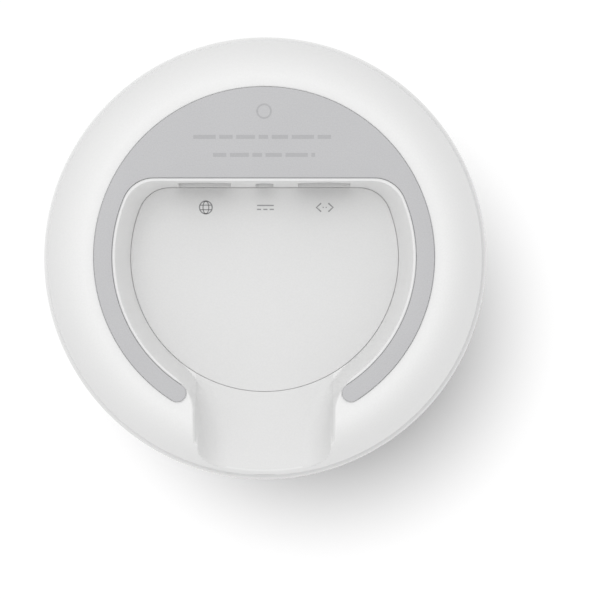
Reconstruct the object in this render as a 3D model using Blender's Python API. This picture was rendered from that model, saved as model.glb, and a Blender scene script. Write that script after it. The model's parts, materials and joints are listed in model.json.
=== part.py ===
"""Round smart home hub that stands on a rubber foot, with its ports in a bay underneath.

Metres, +Z up. The foot rests at z = 0, the hub's axis is the Z axis, and the cable notch is at +Y.
"""

import math

import bmesh
import bpy
from mathutils import Matrix, Vector

# Overall sizes
body_diameter = 0.106
body_height = 0.0688
seam_height = 0.0330  # top of the lower shell
seam_gap = 0.0016  # recessed band between the two shells
seam_step = 0.00115  # the lower shell is this much smaller in radius at the seam
base_inset = 0.01005  # how far the lower shell draws in from the seam to its base
shell_wall = 0.0022
clearance = 0.0003

# Upper shell
top_fillet = 0.0115
top_taper = 0.0006
top_dish = 0.0026
rim_bevel = 0.0005

# Rubber foot
foot_inset = 0.01215  # from the seam's radius in to the foot's outer edge
foot_width = 0.0040
foot_proud = 0.0006  # how far the foot stands below the shell
foot_seat = 0.0010  # how deep the foot sits in the shell
foot_end_margin = 0.0038  # from the notch's side to the middle of the foot's round end

# Port bay
lip_width = 0.00055
under_jack = 0.0025  # room between the shell's floor and the network jacks
bay_roof = 0.0024
floor_plate = 0.0008  # thickness of the plate that closes the bay
bay_wall = 0.0022
bay_side_draft = 0.0031
bay_wall_draft = 0.00118
bay_corner = 0.0076
port_zone = 0.03412  # from the seam's radius in to the bay's port wall, at the lip
seat_floor = 0.0017  # shell left above the foot's seat

# Cable notch
notch_half_width = 0.0165
notch_corner = 0.0050
notch_wall = 0.0020

# Ports
jack_offset = 0.01406
jack_width = 0.0158
jack_height = 0.0135
jack_depth = 0.0155
socket_width = 0.0119
socket_height = 0.0068
socket_depth = 0.0112
socket_sill = 0.0034  # plastic under the socket
latch_width = 0.0064
latch_height = 0.0020
shield_sheet = 0.0003
contact_count = 8
contact_pitch = 0.0010
contact_width = 0.0005
contact_length = 0.0062
inlet_width = 0.0032
inlet_height = 0.0090
inlet_depth = 0.0074
inlet_sheet = 0.0003
inlet_drop = 0.0004  # the power inlet's middle lies this far below the sockets'
tongue_thickness = 0.0007
tongue_height = 0.0066
tongue_setback = 0.0015
inlet_board_thickness = 0.0010
inlet_board_tail = 0.0030  # how far the inlet's board reaches behind it
inlet_board_setback = 0.0005
port_window_margin = 0.0002

# Boards and what they carry
board_thickness = 0.0016
board_margin = 0.0020
heat_sink_margin = 0.0060  # from the heat sink's corners out to the antennas
heat_sink_angle = 42.5  # direction of its corners, seen from above
heat_sink_base = 0.0020
fin_height = 0.0160
fin_thickness = 0.0016
fin_count = 8
processor_size = 0.0160
processor_height = 0.0014
pad_thickness = 0.0008
frame_thickness = 0.0031
frame_width = 0.0142
led_board_width = 0.0045
led_board_thickness = 0.0010
led_size = 0.0020
led_height = 0.0012
led_count = 6
antenna_width = 0.026
antenna_height = 0.018
antenna_thickness = 0.0008
antenna_inset = 0.0035  # from the frame's inner edge
ribbon_angle = 90.0
ribbon_width = 0.0080
ribbon_thickness = 0.0003
ribbon_room = 0.0012  # between the ribbon and the frame's inner edge
can_inset = 0.0124  # from the main board's edge to the middle of a shield can
can_size = (0.0080, 0.0130)
can_height = 0.0024
transformer_inset = 0.0118  # from the port wall to the middle of the transformers
transformer_size = (0.0127, 0.0065)
transformer_height = 0.0025
coil_size = (0.0070, 0.0070)
coil_height = 0.0030
chip_row = 0.0145  # from the processor's middle to the middles of the other two chips
memory_size = (0.0110, 0.0080)
storage_size = (0.0120, 0.0090)
chip_height = 0.0011

# Fasteners
hook_angles = (0.0, 70.0, 180.0, 270.0)
hook_rise = 0.0020  # from the upper shell's rim up to its catches
hook_width = 0.0080
hook_thickness = 0.0016
catch_height = 0.0016
barb_reach = 0.0010
barb_height = 0.0011
barb_inset = 0.0005  # the barb is narrower than its hook by this much on each side
frame_room = 0.0004  # between the frame and the lower shell's inside
ring_riser = 0.0010  # thickness of the light ring's upright wall
pillar_radius = 0.0030
case_screw_angles = (-25.0, 35.0, 145.0, 205.0)
screw_shank = 0.0010
screw_head = 0.0017
screw_head_height = 0.0014
case_screw_length = 0.0098
boss_radius = 0.0032
boss_rise = 0.0004  # the bosses stand this far above the bay's roof
well_depth = 0.0121
board_screw_angles = (-15.0, 50.0, 130.0, 195.0)
board_screw_inset = 0.00785  # from the bay's lip

# Reset button
button_radius = 0.0024
button_flange = 0.0008  # thickness of the flange that keeps the button in
flange_reach = 0.0005
button_room = 0.00035  # left above and below the flange
button_inset = 0.0003
plunger_radius = 0.0010
plunger_length = 0.0026
button_travel = 0.0006
switch_width = 0.0060
switch_depth = 0.0045
switch_height = 0.0052

segments = 64
overrun = 0.0010  # how far cutters and joined blocks run past the faces they meet
roof_step = 0.0001  # keeps the notch's roof just under the bay's, so their faces never coincide

# Worked out from the sizes above
seam_radius = body_diameter / 2 - seam_step
base_height = foot_proud
base_radius = seam_radius - base_inset
shell_rise = seam_height - base_height
foot_outer = seam_radius - foot_inset
foot_inner = foot_outer - foot_width
foot_middle = (foot_outer + foot_inner) / 2
lip_outer = foot_inner - clearance
bay_radius = lip_outer - lip_width
bay_front = -(seam_radius - port_zone)
foot_front = bay_front - lip_width - clearance
seat_top = foot_proud + foot_seat + clearance
cavity_floor = seat_top + seat_floor
jack_bottom = cavity_floor + under_jack
boss_top = jack_bottom + jack_height
roof_top = boss_top - boss_rise
bay_top = roof_top - bay_roof
bay_depth = bay_top - base_height
plate_seat = bay_top + floor_plate + clearance
wall_back = bay_front - lip_width - bay_wall + clearance
board_bottom = boss_top + clearance
board_top = board_bottom + board_thickness
part_bottom = board_top + clearance
frame_bottom = board_top + 2 * (button_radius + flange_reach + button_room)
frame_top = frame_bottom + frame_thickness
rim_height = seam_height + seam_gap
button_height = (board_top + frame_bottom) / 2


def material(name, colour, roughness, metallic=0.0):
    found = bpy.data.materials.get(name)
    if found:
        return found
    made = bpy.data.materials.new(name)
    made.use_nodes = True
    shader = made.node_tree.nodes["Principled BSDF"]
    shader.inputs["Base Color"].default_value = (*colour, 1.0)
    shader.inputs["Roughness"].default_value = roughness
    shader.inputs["Metallic"].default_value = metallic
    return made


def white_plastic():
    return material("white_plastic", (0.86, 0.86, 0.85), 0.45)


def diffuser_plastic():
    return material("diffuser_plastic", (0.80, 0.82, 0.83), 0.35)


def grey_rubber():
    return material("grey_rubber", (0.54, 0.54, 0.55), 0.80)


def black_plastic():
    return material("black_plastic", (0.03, 0.03, 0.03), 0.50)


def grey_plastic():
    return material("grey_plastic", (0.30, 0.31, 0.32), 0.55)


def sheet_metal():
    return material("sheet_metal", (0.70, 0.70, 0.68), 0.30, 1.0)


def gold_plate():
    return material("gold_plate", (0.85, 0.65, 0.30), 0.30, 1.0)


def green_laminate():
    return material("green_laminate", (0.03, 0.20, 0.10), 0.45)


def aluminium():
    return material("aluminium", (0.75, 0.76, 0.77), 0.40, 1.0)


def steel():
    return material("steel", (0.45, 0.45, 0.46), 0.35, 1.0)


def pad_silicone():
    return material("pad_silicone", (0.35, 0.50, 0.62), 0.85)


def ribbon_film():
    return material("ribbon_film", (0.78, 0.74, 0.62), 0.50)


def led_resin():
    return material("led_resin", (0.92, 0.88, 0.62), 0.30)


def clear_scene():
    for thing in list(bpy.data.objects):
        bpy.data.objects.remove(thing, do_unlink=True)


def place(name, mesh, finish):
    """Turn a bmesh into a named object with its faces pointing out."""
    bmesh.ops.recalc_face_normals(mesh, faces=mesh.faces)
    data = bpy.data.meshes.new(name)
    mesh.to_mesh(data)
    mesh.free()
    data.materials.append(finish)
    thing = bpy.data.objects.new(name, data)
    bpy.context.collection.objects.link(thing)
    return thing


def smooth(thing, angle=35.0):
    thing.data.shade_smooth()
    thing.data.set_sharp_from_angle(angle=math.radians(angle))
    return thing


def turned(name, profile, finish, steps=segments):
    """A solid of revolution about Z from (radius, height) points; a radius of 0 closes on the axis."""
    mesh = bmesh.new()
    rings = []
    for radius, height in profile:
        if radius == 0.0:
            rings.append([mesh.verts.new((0.0, 0.0, height))])
            continue
        ring = []
        for step in range(steps):
            turn = 2 * math.pi * step / steps
            ring.append(mesh.verts.new((radius * math.cos(turn), radius * math.sin(turn), height)))
        rings.append(ring)
    pairs = list(zip(rings, rings[1:]))
    if profile[0][0] != 0.0:
        pairs.append((rings[-1], rings[0]))
    for low, high in pairs:
        for step in range(steps):
            after = (step + 1) % steps
            corners = [low[step % len(low)], low[after % len(low)]]
            corners += [high[after % len(high)], high[step % len(high)]]
            mesh.faces.new(list(dict.fromkeys(corners)))
    return smooth(place(name, mesh, finish))


def lofted(name, low_outline, low, high_outline, high, finish):
    """A solid between two outlines with the same number of points."""
    mesh = bmesh.new()
    lower = [mesh.verts.new((x, y, low)) for x, y in low_outline]
    upper = [mesh.verts.new((x, y, high)) for x, y in high_outline]
    count = len(lower)
    for index in range(count):
        after = (index + 1) % count
        mesh.faces.new((lower[index], lower[after], upper[after], upper[index]))
    mesh.faces.new(list(reversed(lower)))
    mesh.faces.new(upper)
    return smooth(place(name, mesh, finish))


def prism(name, outline, low, high, finish):
    return lofted(name, outline, low, outline, high, finish)


def block(name, low, high, finish):
    outline = [(low[0], low[1]), (high[0], low[1]), (high[0], high[1]), (low[0], high[1])]
    return prism(name, outline, low[2], high[2], finish)


def circle(radius, centre=(0.0, 0.0), steps=24):
    turns = [2 * math.pi * step / steps for step in range(steps)]
    return [(centre[0] + radius * math.cos(t), centre[1] + radius * math.sin(t)) for t in turns]


def arc(centre, radius, start, end, steps):
    """Points on an arc from start to end, in degrees."""
    turns = [math.radians(start + (end - start) * step / steps) for step in range(steps + 1)]
    return [(centre[0] + radius * math.cos(t), centre[1] + radius * math.sin(t)) for t in turns]


def turn_mesh(thing, angle, axis, centre=(0.0, 0.0, 0.0)):
    """Turn a mesh about an axis through centre, and leave its object unturned."""
    move = Matrix.Translation(centre) @ Matrix.Rotation(math.radians(angle), 4, axis)
    thing.data.transform(move @ Matrix.Translation(-Vector(centre)))
    return thing


def guide(thing):
    """Mark an object as a tool that shapes others."""
    thing.hide_render = True
    thing.display_type = "WIRE"
    return thing


def shape(target, tool, operation):
    change = target.modifiers.new(tool.name, "BOOLEAN")
    change.operation = operation
    change.object = guide(tool)
    change.solver = "EXACT"
    return target


def cut(target, tool):
    return shape(target, tool, "DIFFERENCE")


def add(target, tool):
    return shape(target, tool, "UNION")


def own_mesh(thing, parent, anchor):
    """Hang an object on an empty, with its own origin at anchor."""
    thing.data.transform(Matrix.Translation(-Vector(anchor)))
    thing.parent = parent
    return thing


def on_circle(radius, angle):
    return radius * math.cos(math.radians(angle)), radius * math.sin(math.radians(angle))


def shell_radius(height):
    """The lower shell's outer radius at a height: part of a flattened oval from its base to the seam."""
    drop = min(max((seam_height - height) / shell_rise, 0.0), 1.0)
    return base_radius + base_inset * math.sqrt(1.0 - drop ** 2.24)


board_radius = shell_radius(board_bottom) - shell_wall - board_margin
frame_outer = shell_radius(frame_bottom) - shell_wall - frame_room
hook_outer = frame_outer - clearance
antenna_reach = frame_outer - frame_width + antenna_inset


def bay_outline(radius, front, corner, arc_steps=36, corner_steps=5):
    """A circle cut off by a straight front, with round corners where they meet."""
    corner_y = front + corner
    corner_x = math.sqrt((radius - corner) ** 2 - corner_y ** 2)
    meet = math.degrees(math.atan2(corner_y, corner_x))
    points = arc((0.0, 0.0), radius, meet, 180.0 - meet, arc_steps)
    points += arc((-corner_x, corner_y), corner, 180.0 - meet, 270.0, corner_steps)[1:]
    points += arc((corner_x, corner_y), corner, 270.0, 360.0 + meet, corner_steps)[:-1]
    return points


def foot_outline(grow):
    """The foot seen from below: a ring with a straight front and a gap for the cables."""
    reach = notch_half_width + foot_end_margin
    end = math.degrees(math.acos(reach / foot_middle))
    end_radius = foot_width / 2 + grow
    inner = foot_middle - end_radius
    front = foot_front + grow
    corner = bay_corner
    corner_y = front + corner
    corner_x = math.sqrt((inner - corner) ** 2 - corner_y ** 2)
    meet = math.degrees(math.atan2(corner_y, corner_x))
    points = arc((0.0, 0.0), foot_middle + end_radius, 180.0 - end, 360.0 + end, 44)
    points += arc(on_circle(foot_middle, end), end_radius, end, end + 180.0, 6)[1:]
    points += arc((0.0, 0.0), inner, end, meet, 10)[1:]
    points += arc((corner_x, corner_y), corner, meet, -90.0, 5)[1:]
    points += arc((-corner_x, corner_y), corner, 270.0, 180.0 - meet, 5)
    points += arc((0.0, 0.0), inner, 180.0 - meet, 180.0 - end, 10)[1:]
    points += arc(on_circle(foot_middle, 180.0 - end), end_radius, -end, 180.0 - end, 6)[1:-1]
    return points


def tunnel(name, half_width, corner, low, roof, near, far, finish):
    """An arched passage along +Y, open at its underside."""
    arch = arc((half_width - corner, roof - corner), corner, 0.0, 90.0, 5)
    arch += arc((corner - half_width, roof - corner), corner, 90.0, 180.0, 5)
    outline = [(half_width, low), *arch, (-half_width, low)]
    mesh = bmesh.new()
    front = [mesh.verts.new((x, near, z)) for x, z in outline]
    back = [mesh.verts.new((x, far, z)) for x, z in outline]
    for index in range(len(outline)):
        after = (index + 1) % len(outline)
        mesh.faces.new((front[index], front[after], back[after], back[index]))
    mesh.faces.new(front)
    mesh.faces.new(list(reversed(back)))
    return smooth(place(name, mesh, finish))


def make_foot():
    return prism("rubber_foot", foot_outline(0.0), 0.0, foot_proud + foot_seat, grey_rubber())


def make_floor_plate():
    """The plate that closes the bay, flush with the notch, with the port signs on it."""
    radius = bay_radius - bay_side_draft - clearance
    front = bay_front + bay_wall_draft + clearance
    outline = bay_outline(radius, front, bay_corner - clearance)
    return prism("bay_floor_plate", outline, bay_top, bay_top + floor_plate, white_plastic())


def outer_profile():
    """The lower shell's outside, from the axis at its base round to the axis at the seam."""
    points = [(0.0, base_height), (base_radius, base_height)]
    rises = [0.015, 0.06, 0.14, 0.26, 0.46, 0.72, 1.0]
    for rise in rises:
        height = base_height + shell_rise * rise
        points.append((shell_radius(height), height))
    return points + [(0.0, seam_height)]


def inner_profile():
    """The lower shell's inside, from its floor up past the seam."""
    points = [(0.0, cavity_floor)]
    for share in (0.0, 0.1, 0.3, 0.6, 1.0):
        height = cavity_floor + (seam_height - cavity_floor) * share
        points.append((shell_radius(height) - shell_wall, height))
    past = seam_height + shell_wall
    return points + [(shell_radius(seam_height) - shell_wall, past), (0.0, past)]


def bay_cutter():
    low = base_height - foot_proud
    drop = foot_proud / bay_depth
    low_radius = bay_radius + bay_side_draft * drop
    low_front = bay_front - bay_wall_draft * drop
    low_outline = bay_outline(low_radius, low_front, bay_corner)
    high_outline = bay_outline(bay_radius - bay_side_draft, bay_front + bay_wall_draft, bay_corner)
    return lofted("bay_cutter", low_outline, low, high_outline, bay_top, white_plastic())


def case_screw_spots():
    return [on_circle(foot_middle, angle) for angle in case_screw_angles]


def board_screw_spots():
    return [on_circle(bay_radius - board_screw_inset, angle) for angle in board_screw_angles]


def port_windows():
    """Cutters for the openings in the port wall: two network sockets and the power inlet."""
    finish = white_plastic()
    near = wall_back - clearance
    far = bay_front + bay_wall_draft + clearance
    windows = []
    for side, name in ((-1, "left_window"), (1, "right_window")):
        middle = side * jack_offset
        half = socket_width / 2 + port_window_margin
        low = (middle - half, near, socket_bottom() - latch_height - port_window_margin)
        high = (middle + half, far, socket_bottom() + socket_height + port_window_margin)
        windows.append(block(name, low, high, finish))
    half = inlet_width / 2 + 2 * clearance
    low = (-half, near, inlet_bottom() - 2 * clearance)
    high = (half, far, inlet_bottom() + inlet_height + 2 * clearance)
    windows.append(block("inlet_window", low, high, finish))
    return windows


def socket_bottom():
    return jack_bottom + socket_sill


def inlet_bottom():
    return socket_bottom() + (socket_height - latch_height - inlet_height) / 2 - inlet_drop


def make_lower_shell():
    finish = white_plastic()
    shell = turned("lower_shell", outer_profile(), finish)
    hollow = turned("shell_hollow", inner_profile(), finish)
    keep_outline = bay_outline(bay_radius + bay_wall, wall_back, bay_corner + bay_wall)
    cut(hollow, prism("bay_keep", keep_outline, seat_top, roof_top, finish))
    past = body_diameter / 2 + shell_wall
    near = bay_radius - bay_side_draft * 2
    half = notch_half_width + notch_wall
    corner = notch_corner + notch_wall
    cut(hollow, tunnel("notch_keep", half, corner, seat_top, roof_top, near, past, finish))
    for number, spot in enumerate(case_screw_spots(), 1):
        cut(hollow, prism(f"boss_keep_{number}", circle(boss_radius, spot), seat_top, boss_top, finish))
    post_low = plate_seat + clearance
    for number, spot in enumerate(board_screw_spots(), 1):
        cut(hollow, prism(f"post_keep_{number}", circle(boss_radius, spot), post_low, boss_top, finish))
    cut(shell, hollow)
    cut(shell, bay_cutter())
    notch_roof = bay_top - roof_step
    cut(shell, tunnel("notch_cutter", notch_half_width, notch_corner, -foot_proud,
                      notch_roof, near, past, finish))
    cut(shell, prism("foot_seat", foot_outline(clearance), -foot_proud, seat_top, finish))
    for window in port_windows():
        cut(shell, window)
    for number, spot in enumerate(case_screw_spots(), 1):
        well = circle(screw_head + clearance, spot)
        cut(shell, prism(f"screw_well_{number}", well, 0.0, seat_top + well_depth, finish))
        hole = circle(screw_shank + clearance, spot)
        cut(shell, prism(f"screw_hole_{number}", hole, 0.0, boss_top + overrun, finish))
    plate_outline = bay_outline(bay_radius - bay_side_draft, bay_front + bay_wall_draft, bay_corner)
    cut(shell, prism("plate_seat", plate_outline, bay_top - bay_depth / 2, plate_seat, finish))
    for number, spot in enumerate(board_screw_spots(), 1):
        pilot = circle(screw_shank + clearance, spot)
        cut(shell, prism(f"pilot_hole_{number}", pilot, post_low, boss_top + overrun, finish))
    bore_near = seam_radius - 3 * shell_wall
    cut(shell, rod_along_y("button_bore", button_radius + clearance, bore_near, past, finish))
    return smooth(shell)


def rod_along_y(name, radius, near, far, finish, steps=24):
    """A round bar along Y on the reset button's axis."""
    bar = prism(name, circle(radius, steps=steps), near, far, finish)
    turn_mesh(bar, -90.0, "X")
    bar.data.transform(Matrix.Translation((0.0, 0.0, button_height)))
    return bar


def top_profile(wall):
    """Half of the upper shell's section, from the axis out to its rim, drawn in by a wall."""
    radius = body_diameter / 2 - top_taper
    corner = radius - top_fillet
    points = []
    for step in range(5):
        out = corner * step / 4
        height = body_height - wall - top_dish * (0.5 + 0.5 * math.cos(math.pi * step / 4))
        points.append((out, height))
    middle = body_height - top_fillet
    for across, up in arc((corner, middle), top_fillet - wall, 90.0, 0.0, 5)[1:]:
        points.append((across, up))
    return points


def catch_block(name, width, near, far, low, high, angle, finish):
    """A block that faces out at an angle about the axis."""
    made = block(name, (near, -width / 2, low), (far, width / 2, high), finish)
    return turn_mesh(made, angle, "Z")


def make_top_shell():
    finish = white_plastic()
    rim = body_diameter / 2
    profile = top_profile(shell_wall)
    profile += [(rim - shell_wall, rim_height), (rim - rim_bevel, rim_height), (rim, rim_height + rim_bevel)]
    profile += list(reversed(top_profile(0.0)))
    shell = turned("top_shell", profile, finish)
    low = rim_height + hook_rise
    high = low + catch_height
    near = hook_outer + clearance
    far = rim - shell_wall / 2
    for number, angle in enumerate(hook_angles, 1):
        add(shell, catch_block(f"catch_{number}", hook_width, near, far, low, high, angle, finish))
    return smooth(shell)


def make_light_ring():
    """The band of diffuser plastic in the seam, with a wall that stands up inside the upper shell."""
    inner = hook_outer + clearance
    riser = inner + ring_riser
    outer = seam_radius - rim_bevel
    low = seam_height + clearance
    high = rim_height - clearance
    top = rim_height + hook_rise - 2 * clearance
    profile = [(inner, low), (outer - rim_bevel, low), (outer, (low + high) / 2), (outer - rim_bevel, high)]
    profile += [(riser, high), (riser, top), (inner, top)]
    return turned("light_ring", profile, diffuser_plastic())


def make_frame():
    finish = grey_plastic()
    outer = frame_outer
    inner = outer - frame_width
    profile = [(inner, frame_bottom), (outer, frame_bottom), (outer, frame_top), (inner, frame_top)]
    frame = turned("middle_frame", profile, finish)
    for number, spot in enumerate(case_screw_spots(), 1):
        pillar = circle(pillar_radius, spot)
        add(frame, prism(f"pillar_{number}", pillar, boss_top + clearance, frame_top - overrun / 2, finish))
    stem_near = hook_outer - hook_thickness
    stem_low = frame_top - overrun
    barb_low = rim_height + hook_rise + catch_height + clearance
    stem_top = barb_low + barb_height
    barb_width = hook_width - 2 * barb_inset
    barb_near = hook_outer - hook_thickness / 2
    barb_far = hook_outer + barb_reach
    for number, angle in enumerate(hook_angles, 1):
        add(frame, catch_block(f"hook_{number}", hook_width, stem_near, hook_outer,
                               stem_low, stem_top, angle, finish))
        barb_top = stem_top - barb_inset / 2
        add(frame, catch_block(f"barb_{number}", barb_width, barb_near, barb_far,
                               barb_low, barb_top, angle, finish))
    for number, spot in enumerate(case_screw_spots(), 1):
        pilot = circle(screw_shank + clearance, spot)
        cut(frame, prism(f"frame_pilot_{number}", pilot, boss_top, screw_tip() + clearance, finish))
    return smooth(frame)


def make_main_board():
    finish = green_laminate()
    board = prism("main_board", circle(board_radius, steps=segments), board_bottom, board_top, finish)
    low = board_bottom - overrun
    high = board_top + overrun
    for number, spot in enumerate(case_screw_spots(), 1):
        hole = circle(boss_radius + 2 * clearance, spot)
        cut(board, prism(f"pillar_hole_{number}", hole, low, high, finish))
    for number, spot in enumerate(board_screw_spots(), 1):
        hole = circle(screw_shank + clearance, spot)
        cut(board, prism(f"board_hole_{number}", hole, low, high, finish))
    return smooth(board)


def contact_comb(name, middle, back, low):
    """Gold contacts side by side on one bar, reaching forward from the socket's back."""
    half_bar = contact_pitch * contact_count / 2 + contact_width
    bar_front = back + 2 * contact_width
    points = [(middle - half_bar, back), (middle - half_bar, bar_front)]
    for number in range(contact_count):
        tine = middle + contact_pitch * (number - (contact_count - 1) / 2)
        left = tine - contact_width / 2
        right = tine + contact_width / 2
        points += [(left, bar_front), (left, bar_front + contact_length)]
        points += [(right, bar_front + contact_length), (right, bar_front)]
    points += [(middle + half_bar, bar_front), (middle + half_bar, back)]
    return prism(name, points, low, low + contact_width, gold_plate())


def make_jack(side, name):
    middle = side * jack_offset
    front = wall_back - clearance
    back = front - jack_depth
    low = jack_bottom
    half = jack_width / 2
    finish = black_plastic()
    top = low + jack_height
    body = block(f"{name}_body", (middle - half, back, low), (middle + half, front, top), finish)
    sill = socket_bottom()
    socket_half = socket_width / 2
    socket_back = front - socket_depth
    mouth = front + overrun
    socket = block(f"{name}_socket", (middle - socket_half, socket_back, sill),
                   (middle + socket_half, mouth, sill + socket_height), finish)
    cut(body, socket)
    latch_half = latch_width / 2
    latch = block(f"{name}_latch", (middle - latch_half, socket_back, sill - latch_height),
                  (middle + latch_half, mouth, sill + overrun), finish)
    cut(body, latch)
    comb_low = sill + socket_height - contact_width - 2 * clearance
    contact_comb(f"{name}_contacts", middle, socket_back + clearance, comb_low)
    inner = half + clearance
    outer = inner + shield_sheet
    shield_back = back - clearance
    shield_low = low - clearance
    case = block(f"{name}_shield", (middle - outer, shield_back - shield_sheet, shield_low - shield_sheet),
                 (middle + outer, front, top), sheet_metal())
    inside = block(f"{name}_shield_inside", (middle - inner, shield_back, shield_low),
                   (middle + inner, mouth, top + overrun), sheet_metal())
    cut(case, inside)


def make_power_inlet():
    front = wall_back - clearance
    back = front - inlet_depth
    low = inlet_bottom()
    high = low + inlet_height
    half = inlet_width / 2
    inner = half - inlet_sheet
    hollow_back = back + inlet_sheet
    shell = rounded_bar("power_inlet_shell", half, low, high, back, front, sheet_metal())
    hollow = rounded_bar("inlet_hollow", inner, low + inlet_sheet, high - inlet_sheet,
                         hollow_back, front + overrun, sheet_metal())
    cut(shell, hollow)
    middle = (low + high) / 2
    half_tongue = tongue_thickness / 2
    block("power_inlet_tongue", (-half_tongue, hollow_back + clearance, middle - tongue_height / 2),
          (half_tongue, front - tongue_setback, middle + tongue_height / 2), black_plastic())
    board_near = half + clearance
    block("power_inlet_board", (board_near, back - inlet_board_tail, low),
          (board_near + inlet_board_thickness, front - inlet_board_setback, board_bottom - clearance),
          green_laminate())


def rounded_bar(name, half_width, low, high, near, far, finish):
    """A bar along Y whose upright section is an oval with a short flat at each end."""
    across = 0.0001
    corner = half_width - across
    outline = arc((across, high - corner), corner, 0.0, 90.0, 5)
    outline += arc((-across, high - corner), corner, 90.0, 180.0, 5)
    outline += arc((-across, low + corner), corner, 180.0, 270.0, 5)
    outline += arc((across, low + corner), corner, 270.0, 360.0, 5)
    mesh = bmesh.new()
    front = [mesh.verts.new((x, far, z)) for x, z in outline]
    back = [mesh.verts.new((x, near, z)) for x, z in outline]
    for index in range(len(outline)):
        after = (index + 1) % len(outline)
        mesh.faces.new((front[index], front[after], back[after], back[index]))
    mesh.faces.new(front)
    mesh.faces.new(list(reversed(back)))
    return smooth(place(name, mesh, finish))


def on_board(name, middle, size, height, finish):
    """A part that stands on the main board."""
    half_x = size[0] / 2
    half_y = size[1] / 2
    return block(name, (middle[0] - half_x, middle[1] - half_y, part_bottom),
                 (middle[0] + half_x, middle[1] + half_y, part_bottom + height), finish)


def make_board_parts():
    on_board("processor", (0.0, 0.0), (processor_size, processor_size), processor_height, black_plastic())
    on_board("memory_chip", (0.0, chip_row), memory_size, chip_height, black_plastic())
    on_board("storage_chip", (0.0, -chip_row), storage_size, chip_height, black_plastic())
    row = wall_back - transformer_inset
    on_board("power_coil", (0.0, row), coil_size, coil_height, grey_plastic())
    for side, name in ((-1, "left"), (1, "right")):
        spot = (side * jack_offset, row)
        on_board(f"{name}_transformer", spot, transformer_size, transformer_height, black_plastic())
        spot = (side * (board_radius - can_inset), 0.0)
        on_board(f"{name}_shield_can", spot, can_size, can_height, sheet_metal())


def make_heat_sink():
    pad_low = part_bottom + processor_height + clearance
    half_pad = processor_size / 2
    pad_high = pad_low + pad_thickness
    block("thermal_pad", (-half_pad, -half_pad, pad_low), (half_pad, half_pad, pad_high), pad_silicone())
    low = pad_high + clearance
    base = low + heat_sink_base
    top = base + fin_height
    corner = antenna_reach - heat_sink_margin
    half, half_length = on_circle(corner, heat_sink_angle)
    pitch = (2 * half - fin_thickness) / (fin_count - 1)
    outline = [(half, low), (-half, low)]
    for number in range(fin_count):
        left = -half + pitch * number
        right = left + fin_thickness
        fin = [(left, base), (left, top), (right, top), (right, base)]
        if number == 0:
            fin = fin[1:]
        if number == fin_count - 1:
            fin = fin[:-1]
        outline += fin
    sink = prism("heat_sink", outline, -half_length, half_length, aluminium())
    return turn_mesh(sink, 90.0, "X")


def make_antennas():
    low = frame_top + clearance
    for number in range(4):
        half = antenna_width / 2
        plate = block(f"antenna_{number + 1}", (antenna_reach, -half, low),
                      (antenna_reach + antenna_thickness, half, low + antenna_height), green_laminate())
        turn_mesh(plate, 45.0 + 90.0 * number, "Z")


def make_led_board():
    outer = hook_outer - hook_thickness - 2 * clearance
    inner = outer - led_board_width
    low = frame_top + clearance
    high = low + led_board_thickness
    turned("led_board", [(inner, low), (outer, low), (outer, high), (inner, high)], green_laminate())
    middle = outer - led_size
    for number in range(led_count):
        half = led_size / 2
        led = block(f"led_{number + 1}", (middle - half, -half, high + clearance),
                    (middle + half, half, high + clearance + led_height), led_resin())
        turn_mesh(led, 30.0 + 360.0 * number / led_count, "Z")
    make_ribbon(inner - clearance, low + led_board_thickness / 2)


def make_ribbon(reach, height):
    """The flat cable that climbs from the main board and bends out to the light board."""
    near = frame_outer - frame_width - ribbon_room
    low = height - ribbon_thickness / 2
    high = height + ribbon_thickness / 2
    outline = [(near, part_bottom), (near + ribbon_thickness, part_bottom), (near + ribbon_thickness, low)]
    outline += [(reach, low), (reach, high), (near, high)]
    ribbon = prism("led_ribbon", outline, -ribbon_width / 2, ribbon_width / 2, ribbon_film())
    turn_mesh(ribbon, 90.0, "X")
    turn_mesh(ribbon, ribbon_angle, "Z")


def screw_tip():
    return screw_seat() + case_screw_length


def screw_seat():
    return seat_top + well_depth - clearance


def make_screw(name, spot, head_low, head_high, shank_low, shank_high):
    """A screw along Z: a wide head and a narrower shank, turned in one piece."""
    if head_low < shank_low:
        profile = [(0.0, head_low), (screw_head, head_low), (screw_head, head_high)]
        profile += [(screw_shank, head_high), (screw_shank, shank_high), (0.0, shank_high)]
    else:
        profile = [(0.0, shank_low), (screw_shank, shank_low), (screw_shank, head_low)]
        profile += [(screw_head, head_low), (screw_head, head_high), (0.0, head_high)]
    screw = turned(name, profile, steel(), steps=16)
    screw.data.transform(Matrix.Translation((spot[0], spot[1], 0.0)))
    return screw


def make_screws():
    seat = screw_seat()
    for number, spot in enumerate(case_screw_spots(), 1):
        make_screw(f"case_screw_{number}", spot, seat - screw_head_height, seat, seat, screw_tip())
    head = board_top + clearance
    tip = plate_seat + 2 * clearance
    for number, spot in enumerate(board_screw_spots(), 1):
        make_screw(f"board_screw_{number}", spot, head, head + screw_head_height, tip, head)


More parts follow.
